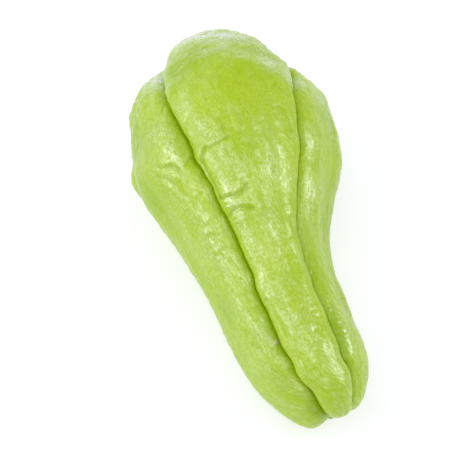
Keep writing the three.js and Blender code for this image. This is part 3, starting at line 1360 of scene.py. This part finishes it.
@dataclass(frozen=True)
class SkinFinish:
    """Waxy yellow-green fruit skin, yellower in the folds: painted shade deepens its green on the
    furrows' walls, and painted light makes their floors lighter.

    The greens and the furrows' shade say how far each mask goes toward the deep green, and the
    fold's light how far the furrows' floors go toward the lighter fold colour. The coats say how
    much wax there is: everywhere, where a patch of wax lies, and in the bloom. Of that wax,
    on_veins is the share left on a vein, and between_veins is what is added away from them.
    """

    pale: Colour = (0.440, 0.60, 0.022)
    middle: Colour = (0.375, 0.55, 0.008)
    # The skin's own darker green, which is also the colour of its painted shade.
    deep_green_and_shade: Colour = (0.31, 0.47, 0.003)
    # Lighter than the skin's greens: painted light on the furrows' floors, over their own yellower green.
    lit_fold: Colour = (0.48, 0.70, 0.002)
    # The blossom end's pale bloom, and also painted reflection of the bright backdrop.
    rim: Colour = (0.67, 0.76, 0.60)
    cork: Colour = (0.50, 0.40, 0.22)
    streak_green: float = 0.45
    # How far the furrows' walls go toward painted shade.
    furrow_shade: float = 0.15
    vein_green: float = 0.40
    # How far the furrows' floors go toward the painted light.
    fold_light: float = 0.85
    roughness: float = 0.15
    thin_coat: float = 0.08
    wax_coat: float = 0.60
    bloom_coat: float = 0.85
    between_veins: float = 1.3
    on_veins: float = 0.22

    def inputs(self, sheet: Sheet) -> Mapping[str, Input]:
        """The shader's sockets.

        Args:
            sheet: the material's nodes.

        Returns:
            Values or wires by the socket's name.
        """
        grain = sheet.vector("grain")
        place = sheet.vector("place")
        names = ("furrow", "blotch_and_shade", "rim", "cork", "wax", "shade")
        masks = {name: sheet.number(name) for name in names}
        mottle = sheet.noise(place, scale=0.35, detail=4.0, roughness=0.6)
        veins = (sheet.noise(grain * (1.0, 0.55, 1.0), scale=1.0, detail=2.0, roughness=0.6) - 0.5).size()
        ripples = sheet.noise(grain * (1.0, 0.5, 1.0), scale=1.0, detail=1.0)
        pores = sheet.noise(place, scale=2.6, detail=1.0)
        return {
            "Base Color": self._colour(sheet, masks, mottle, veins),
            "Roughness": self.roughness + mottle * 0.06 + masks["furrow"] * 0.20 + masks["cork"] * 0.4,
            "Normal": sheet.bump(ripples * 0.32 + veins * 0.30 + pores * 0.05, MM),
            "Subsurface Weight": 0.40,
            "Subsurface Radius": (1.0, 1.0, 0.35),
            "Subsurface Scale": 3.0 * MM,
            "Specular IOR Level": 0.5,
            "IOR": 1.45,
            "Coat Weight": self._coat(sheet, masks, veins),
            "Coat Roughness": 0.30,
            "Coat IOR": 1.9,
        }

    def _colour(self, sheet: Sheet, masks: Mapping[str, Wire], mottle: Wire, veins: Wire) -> Wire:
        """The skin's colour, with painted shade and painted light in its furrows and creases.

        Args:
            sheet: the material's nodes.
            masks: the numbers stored on the skin, by name.
            mottle: noise a few millimetres wide.
            veins: 0 on a vein, growing away from it.

        Returns:
            The colour.
        """
        place = sheet.vector("place")
        patches = sheet.noise(place, scale=0.06, detail=4.0, roughness=0.55)
        stretched = sheet.vector("grain") * (0.55, 0.07, 1.0)
        streaks = sheet.noise(stretched, scale=1.0, detail=4.0, roughness=0.6)
        fine = sheet.noise(place, scale=1.6, detail=3.0, roughness=0.6)
        tone = patches * 0.45 + mottle * 0.25 + streaks * 0.30
        streaked = (streaks * 0.45 + fine * 0.55).between(0.50, 0.68)
        furrow = masks["furrow"]
        colour = sheet.blend(self.middle, self.pale, tone.between(0.36, 0.66))
        for other, amount in (
            (self.deep_green_and_shade, streaked * self.streak_green),
            # The blossom end's pale bloom, and painted reflection along the edges.
            (self.rim, masks["rim"]),
            # Mottled blotches, with painted shade in the creases, along the furrows and at the edges.
            (self.deep_green_and_shade, masks["blotch_and_shade"]),
            # Painted shade on the furrows' walls.
            (self.deep_green_and_shade, furrow.between(0.15, 0.65) * self.furrow_shade),
            # Painted light: the furrows' floors made lighter.
            (self.lit_fold, furrow.between(0.60, 1.0) * self.fold_light),
            # Painted shade at the foot of the right furrow's walls.
            (self.deep_green_and_shade, masks["shade"]),
            (self.deep_green_and_shade, self.vein_green - veins.between(0.0, 0.08) * self.vein_green),
            (self.cork, masks["cork"]),
        ):
            colour = sheet.blend(colour, other, amount)
        return colour

    def _coat(self, sheet: Sheet, masks: Mapping[str, Wire], veins: Wire) -> Wire:
        """How much wax coats the skin: broken by the veins, and little in furrows or edge on.

        Args:
            sheet: the material's nodes.
            masks: the numbers stored on the skin, by name.
            veins: 0 on a vein, growing away from it.

        Returns:
            The coat's weight.
        """
        stretched = sheet.vector("grain") * (0.30, 0.05, 1.0)
        bloom = sheet.noise(stretched, scale=1.0, detail=4.0, roughness=0.6).between(0.38, 0.62)
        coat = self.thin_coat + masks["wax"] * self.wax_coat + bloom * self.bloom_coat
        coat = coat * (1.0 - masks["shade"])
        coat = coat * (self.on_veins + veins.between(0.0, 0.10) * self.between_veins)
        return coat * (1.0 - masks["furrow"]) * (1.0 - sheet.facing() * (1.0 - masks["rim"]))


@dataclass(frozen=True)
class FloorFinish:
    """A matt pale floor, with a glow that makes it white and the shadow on it faint."""

    colour: Colour = (0.54, 0.56, 0.62)
    roughness: float = 1.0
    glow: float = 0.52

    def inputs(self, sheet: Sheet) -> Mapping[str, Input]:
        """The shader's sockets."""
        return {
            "Base Color": (*self.colour, 1.0),
            "Roughness": self.roughness,
            "Specular IOR Level": 0.0,
            "Emission Color": WHITE,
            "Emission Strength": self.glow,
        }


# ---- Patches of colour, painted shade, painted reflection and wax on the skin ------------------

# Places where the skin is a deeper green. Some are its own mottling, and some are painted shade along the
# furrows' walls, at the left edge and in the right waist.
BLOTCHES_AND_SHADE = (
    Spot(140, -12, 3.0, 9.0, 0.50),
    Spot(138, 12, 3.5, 5.0, 0.65),
    Spot(135, -17, 3.0, 5.0, 0.70),
    Spot(132, -30, 6.0, 5.5, 0.85),
    Spot(131, -12, 4.0, 16.0, 0.80),
    Spot(130, 19, 3.0, 4.5, 0.80),
    Spot(127, 26, 5.0, 3.5, 0.60),
    Spot(122, 205, 9.0, 8.0, 0.45),
    Spot(118, -72, 12.0, 7.0, 0.80),
    Spot(110, -63, 12.0, 6.0, 0.35),
    Spot(108, 78, 6.0, 5.0, 0.50),
    Spot(104, 62, 10.0, 6.0, 0.60),
    Spot(98, -77, 12.0, 7.0, 0.60),
    Spot(98, -13, 4.0, 2.0, 0.40),
    Spot(84, -8, 4.0, 2.0, 0.45),
    Spot(84, 49, 2.5, 4.0, 0.50),
    Spot(70, 78, 16.0, 9.0, 0.80),
    Spot(70, 140, 9.0, 6.0, 0.45),
    Spot(60, 232, 8.0, 5.0, 0.40),
    Spot(54, 31, 16.0, 3.5, 0.70),
    Spot(45, -68, 5.0, 4.0, 0.90),
    Spot(43, 35, 10.0, 3.0, 0.5),
    Spot(43, 68, 14.0, 6.0, 0.60),
    Spot(30, -38, 14.0, 3.0, 0.50),
    Spot(24, 36, 11.0, 2.2, 1.0),
    Spot(16, 20, 8.0, 3.0, 0.50),
)

# Whitish places near the blossom end and along the edges of the crown and the left lobe. They are partly
# the skin's pale bloom, and partly painted reflection of the bright backdrop seen edge on.
PALE_AND_SHEEN_PATCHES = (
    Spot(147, -12, 4.0, 10.0, 0.65),
    Spot(144, 4, 4.0, 8.0, 0.70),
    Spot(140, 5, 3.0, 7.0, 0.55),
    Spot(137, -47, 5.0, 7.0, 0.80),
    Spot(134, -5, 2.5, 6.0, 0.35),
    Spot(128, -37, 4.0, 3.0, 0.40),
    Spot(127, 7, 3.0, 4.0, 0.25),
    Spot(122, 23, 4.0, 4.0, 0.45),
    Spot(118, 32, 3.0, 3.0, 0.50),
    Spot(117, 40, 2.5, 4.0, 0.80),
    Spot(112, 55, 4.0, 4.0, 0.40),
)

# Places with more wax, which shine.
WAX = (
    Spot(146, -6, 5.0, 16.0, 2.0),
    Spot(137, -45, 4.0, 6.0, 1.5),
    Spot(123, 25, 6.0, 5.0, 1.5),
    Spot(116, 42, 4.0, 5.0, 1.5),
    Spot(114, -29, 6.0, 3.0, 1.3),
    Spot(109, -49, 5.5, 6.0, 2.4),
    Spot(102, -42, 5.0, 4.5, 2.2),
    Spot(102, -22, 4.0, 3.5, 1.6),
    Spot(100, -58, 6.0, 4.0, 0.8),
    Spot(97, -44, 8.0, 3.0, 0.4),
    Spot(95, -51, 6.0, 5.0, 1.1),
    Spot(93, -33, 5.0, 2.5, 2.0),
    Spot(91, 45.5, 7.0, 3.0, 1.6),
    Spot(84, 13, 10.0, 3.2, 2.0),
    Spot(83, -71, 7.0, 6.0, 0.8),
    Spot(82, -64, 12.0, 6.0, 0.7),
    Spot(75, -17, 7.0, 3.2, 2.0),
    Spot(74, 46, 10.0, 3.4, 1.6),
    Spot(68, 12, 6.0, 4.0, 0.7),
    Spot(63, -51, 16.0, 3.5, 1.8),
    Spot(36, -35, 40.0, 20.0, 0.45),
    Spot(29, 1, 6.0, 3.5, 1.6),
    Spot(28, -56, 12.0, 4.0, 1.2),
    Spot(27, 42.5, 13.0, 2.0, 2.4),
    Spot(13, 7, 5.0, 3.5, 1.1),
    Spot(12, -50, 9.0, 8.0, 0.7),
    Spot(6, 17, 3.0, 4.0, 1.0),
)

# Places where the wax is thin.
DULL = (
    Spot(135, -16, 3.0, 5.0, 0.8),
    Spot(134, -24, 5.0, 6.0, 0.8),
    Spot(130, -3, 4.0, 9.0, 0.5),
    Spot(129, 20, 3.5, 5.0, 0.9),
    Spot(121, 28, 3.0, 3.5, 0.8),
    Spot(118, -71, 12.0, 7.0, 0.7),
    Spot(114, 6, 8.0, 10.0, 0.8),
    Spot(111, -12, 7.0, 8.0, 1.0),
    Spot(105, 52, 5.0, 4.0, 1.5),
    Spot(104, 24, 10.0, 4.0, 0.5),
    Spot(102, 62, 10.0, 7.0, 1.0),
    Spot(98, -76, 12.0, 7.0, 0.7),
    Spot(95, 57, 5.0, 4.0, 1.5),
    Spot(90, 23, 9.0, 2.5, 0.7),
    Spot(88, 8, 4.0, 3.0, 1.6),
    Spot(84, 41, 4.0, 3.0, 1.5),
    Spot(84, 49, 2.5, 4.0, 1.0),
    Spot(79, -47, 3.0, 3.0, 0.6),
    Spot(70, 78, 16.0, 9.0, 1.0),
    Spot(54, 32, 18.0, 3.5, 1.0),
    Spot(45, -68, 5.0, 4.0, 0.9),
    Spot(43, 36, 9.0, 4.0, 0.8),
    Spot(42, 68, 14.0, 8.0, 0.9),
    Spot(38, 29, 9.0, 3.5, 1.9),
    Spot(30, -38, 14.0, 3.0, 0.6),
    Spot(22, 36, 12.0, 2.4, 1.8),
    Spot(12, 13, 2.5, 2.5, 1.0),
)


# ---- Pieces of the scene -----------------------------------------------------------------------


@dataclass
class DressedFruit:
    """The fruit's fine skin, placed over the frame's solid and given its finish."""

    fruit: Fruit
    finish: SkinFinish
    # How deep the painted shade in the creases is.
    crease_shade: float = 0.65
    mouth_pale_and_sheen: float = 0.60
    cork_strength: float = 0.8
    mouth_folds: tuple[float, float] = (0.2, 0.7)
    dimple_edge: tuple[float, float] = (2.0, 4.5)
    lobe_step: float = 31.0

    def build(self) -> None:
        """Makes the skin and hides the frame's solid under it."""
        points, place, facts = self.fruit.surface()
        low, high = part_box(NODE)
        middle = (np.array(low) + np.array(high)) / 2.0
        own = (points.min((0, 1)) + points.max((0, 1))) / 2.0 * MM
        shift = np.array([middle[0] - own[0], middle[1] - own[1], 0.0])
        skin = ClosedSkin("chayote_skin", points * MM + shift)
        stored = {
            "place": points,
            "grain": np.stack([place.share * place.width, place.y, self.lobe_step * facts["lobe"]], -1),
            "furrow": facts["furrow"],
            "shade": facts["shade"],
            # Mottled blotches, with painted shade in the creases, along the furrows and at the edges.
            "blotch_and_shade": np.maximum(place.strongest(BLOTCHES_AND_SHADE), self.crease_shade * facts["crease"]),
            # The blossom end's pale bloom, with painted reflection of the backdrop along the edges.
            "rim": self._pale_end_and_sheen(place, facts["furrow"]),
            "cork": self._cork(place, facts["cork"]),
            "wax": place.strongest(WAX) - place.strongest(DULL) - facts["crease"],
        }
        for name, values in stored.items():
            skin.attribute(name, values)
        skin.mesh.materials.append(surface_material("chayote_skin", self.finish.inputs))
        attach(skin.piece, BODY)
        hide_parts(NODE)
        LOG.info("skin: %d faces, shift %s mm", len(skin.mesh.polygons), (shift / MM).round(2).tolist())

    def _pale_end_and_sheen(self, place: Place, furrow: Array) -> Array:
        """How pale each point is near the blossom end and on the edges: the skin's pale bloom, with
        painted reflection of the bright backdrop.
        """
        end = self.mouth_pale_and_sheen * ramp(place.y, *MOUTH) * (1.0 - ramp(furrow, *self.mouth_folds))
        return np.maximum(end, place.strongest(PALE_AND_SHEEN_PATCHES))

    def _cork(self, place: Place, line: Array) -> Array:
        """How corky each point is: round the stem's dimple and in the left furrow's end."""
        dimple = (1.0 - ramp(place.radius, *self.dimple_edge)) * (place.y < self.fruit.pear.length / 2)
        return np.clip(dimple + self.cork_strength * line, 0.0, 1.0)


def stand_off(
    piece: bpy.types.Object, target: Vector, azimuth: float, elevation: float, distance: float
) -> None:
    """Puts a light or a camera at a distance from its target, turned to face it.

    Args:
        piece: the light or camera.
        target: the point that it faces.
        azimuth: its direction from the target, from +Y toward +X, in degrees.
        elevation: its direction above the floor, in degrees.
        distance: how far it is from the target, in metres.
    """
    turn = math.radians(azimuth)
    lift = math.radians(elevation)
    way = Vector((math.sin(turn) * math.cos(lift), math.cos(turn) * math.cos(lift), math.sin(lift)))
    piece.location = target + way * distance
    piece.rotation_euler = way.to_track_quat("Z", "Y").to_euler()


@dataclass(frozen=True)
class SoftBox:
    """A rectangular soft light that faces the fruit.

    Its azimuth is from +Y toward +X and its elevation is above the floor, both in degrees. Its
    distance, width and height are in metres, and radiance is how bright its face looks.
    """

    name: str
    azimuth: float
    elevation: float
    distance: float
    width: float
    height: float
    radiance: float

    def build(self) -> None:
        """Makes the light."""
        light = bpy.data.lights.new(self.name, "AREA")
        light.shape = "RECTANGLE"
        light.size = self.width
        light.size_y = self.height
        light.energy = self.radiance * math.pi * self.width * self.height
        lamp = add_object(self.name, light)
        stand_off(lamp, Vector(), self.azimuth, self.elevation, self.distance)


SOFT_BOXES = (
    SoftBox("right_box", 112.0, 38.0, distance=0.9, width=0.50, height=0.64, radiance=1.25),
    SoftBox("right_core", 102.0, 46.0, distance=0.88, width=0.32, height=0.50, radiance=2.7),
    SoftBox("left_box", -70.0, 33.0, distance=0.9, width=0.88, height=0.80, radiance=1.1),
    SoftBox("left_core", -93.0, 38.0, distance=0.88, width=0.34, height=0.32, radiance=2.9),
    SoftBox("back_box", -22.0, 43.0, distance=0.9, width=0.25, height=0.25, radiance=1.2),
    SoftBox("top_box", -140.0, 68.0, distance=0.9, width=0.60, height=0.60, radiance=1.75),
)


@dataclass
class Studio:
    """A pale floor under plain soft light."""

    floor_side: float = 4.0
    sky: float = 0.46
    haze: float = 0.10
    backdrop: float = 0.75
    backdrop_height: float = 0.45
    backdrop_way: tuple[float, float] = (0.5, 0.87)
    behind: tuple[float, float] = (0.2, 0.8)

    def build(self) -> None:
        """Makes the floor, the sky and the lights."""
        self._floor()
        self._sky()
        for box in SOFT_BOXES:
            box.build()
        bpy.context.scene.view_settings.view_transform = "Standard"
        LOG.info("studio: floor, sky and %d soft boxes", len(SOFT_BOXES))

    def _floor(self) -> None:
        """A flat floor that the fruit lies on."""
        half = self.floor_side / 2
        corners = [(-half, -half, 0), (half, -half, 0), (half, half, 0), (-half, half, 0)]
        mesh = bpy.data.meshes.new("floor")
        mesh.from_pydata(corners, [], [(0, 1, 2, 3)])
        mesh.materials.append(surface_material("pale_floor", FloorFinish().inputs))
        floor = add_object("floor", mesh)

    def _sky(self) -> None:
        """Even white light from above, brighter low down and most of all behind the fruit."""
        world = bpy.data.worlds.new("sky")
        sheet = Sheet(world)
        direction = sheet.node("ShaderNodeTexCoord", {}, {}).outputs["Generated"]
        parts = sheet.node("ShaderNodeSeparateXYZ", {}, {"Vector": Wire(sheet, direction)})
        x, y, z = (Wire(sheet, output) for output in parts.outputs)
        toward_backdrop = x * self.backdrop_way[0] + y * self.backdrop_way[1]
        behind = toward_backdrop.between(*self.behind)
        low = 1.0 - z.between(0.0, self.backdrop_height)
        strength = self.sky + low * (self.haze + behind * self.backdrop)
        colour_and_strength = {"Color": WHITE, "Strength": strength}
        sheet.end("ShaderNodeBackground", colour_and_strength, "ShaderNodeOutputWorld")
        bpy.context.scene.world = world


@dataclass
class Viewpoint:
    """A camera that looks down on the fruit from its stem end, with its angles as a soft box's."""

    azimuth: float = 195.0
    elevation: float = 54.0
    distance: float = 0.560
    lens: float = 120.0
    sensor: float = 36.0
    target: tuple[float, float, float] = (-0.0110, 0.0044, 0.028)

    def build(self) -> None:
        """Makes the camera."""
        data = bpy.data.cameras.new("camera")
        data.lens = self.lens
        data.sensor_width = self.sensor
        camera = add_object("camera", data)
        stand_off(camera, Vector(self.target), self.azimuth, self.elevation, self.distance)
        bpy.context.scene.camera = camera
        LOG.info("camera: %.0f degrees up, %.2f m away", self.elevation, self.distance)


def main() -> None:
    """Builds the scene round the frame."""
    logging.basicConfig(level=logging.INFO, format="%(name)s: %(message)s")
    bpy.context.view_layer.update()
    Viewpoint().build()
    Studio().build()
    DressedFruit(Fruit(), SkinFinish()).build()


if __name__ == "__main__":
    main()
